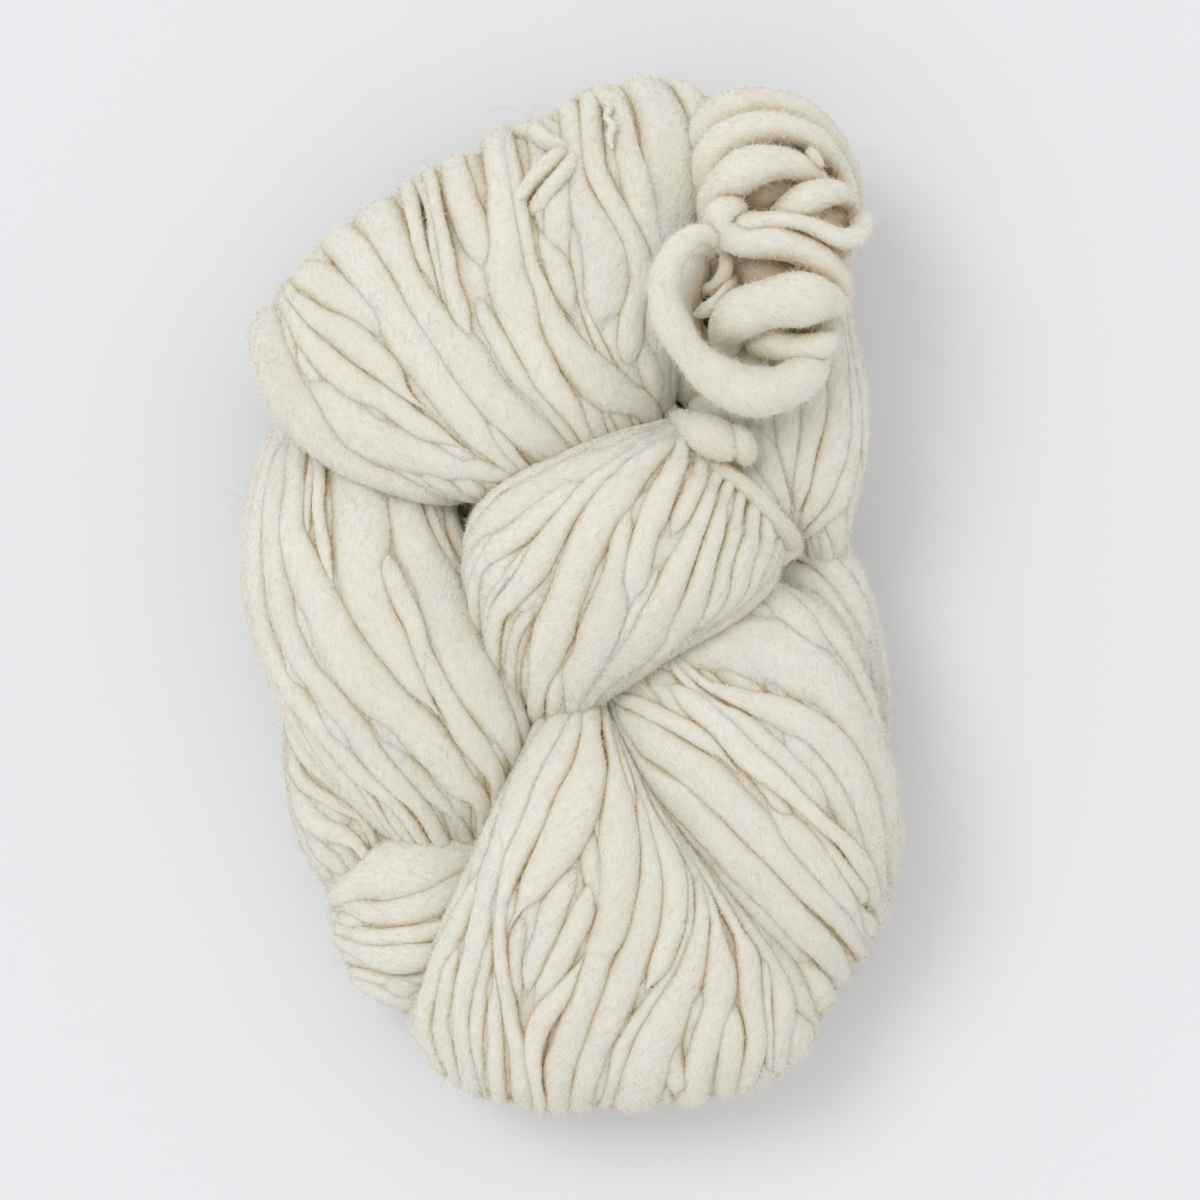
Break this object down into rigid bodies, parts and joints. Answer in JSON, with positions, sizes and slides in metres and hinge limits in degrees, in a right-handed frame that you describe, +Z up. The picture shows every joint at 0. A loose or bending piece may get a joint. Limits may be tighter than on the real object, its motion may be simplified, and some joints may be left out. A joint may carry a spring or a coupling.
{
  "type": "yarn hank",
  "caption": "Twisted hank of thick-and-thin hand-spun wool yarn, tucked into itself and tied, lying flat.",
  "frame": {"origin": "on the surface that the hank lies on, under the middle of its bounding box", "axes": "+Y along the hank to its crown, the end beside the standing end loops; +Z up, away from the surface; +X across"},
  "size_m": [0.1647, 0.2595, 0.0816],
  "materials": {
    "wool": "matt, softly fuzzy cream wool",
    "tie_wool": "matt, softly fuzzy cream wool"
  },
  "bodies": {
    "root": {"hank": "wool", "tie": "tie_wool"}
  },
  "joints": []
}
